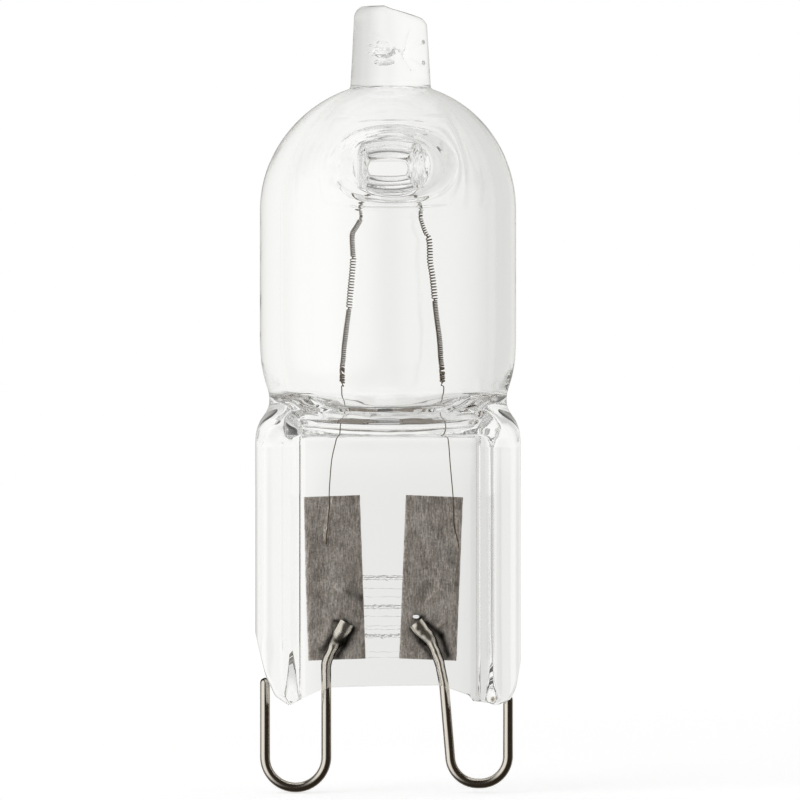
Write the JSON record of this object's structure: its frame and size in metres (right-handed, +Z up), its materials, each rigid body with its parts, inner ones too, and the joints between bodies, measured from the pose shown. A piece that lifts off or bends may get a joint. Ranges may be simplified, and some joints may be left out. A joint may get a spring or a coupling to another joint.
{
  "type": "halogen capsule bulb",
  "caption": "Clear quartz halogen capsule with a press-sealed foot, wire loop pins, sealed foils and a filament draped over a glass post.",
  "frame": {"origin": "midway between the two pin loops, at the level of the lower loop's lowest point, where the lamp is plugged in", "axes": "+Z up the lamp's axis from the pins to the tip, X across both pins, the foils' welded side towards -Y"},
  "size_m": [0.0134, 0.013, 0.0399],
  "materials": {
    "fused_quartz": "clear, fire polished",
    "molybdenum_foil": "rolled and etched, grain along the strip",
    "pin_wire": "drawn wire, satin",
    "tungsten_wire": "drawn and wound wire, dull"
  },
  "bodies": {
    "root": {"quartz_envelope": "fused_quartz", "foil_left": "molybdenum_foil", "foil_right": "molybdenum_foil", "contact_pin_left": "pin_wire", "contact_pin_right": "pin_wire", "filament": "tungsten_wire"}
  },
  "joints": []
}
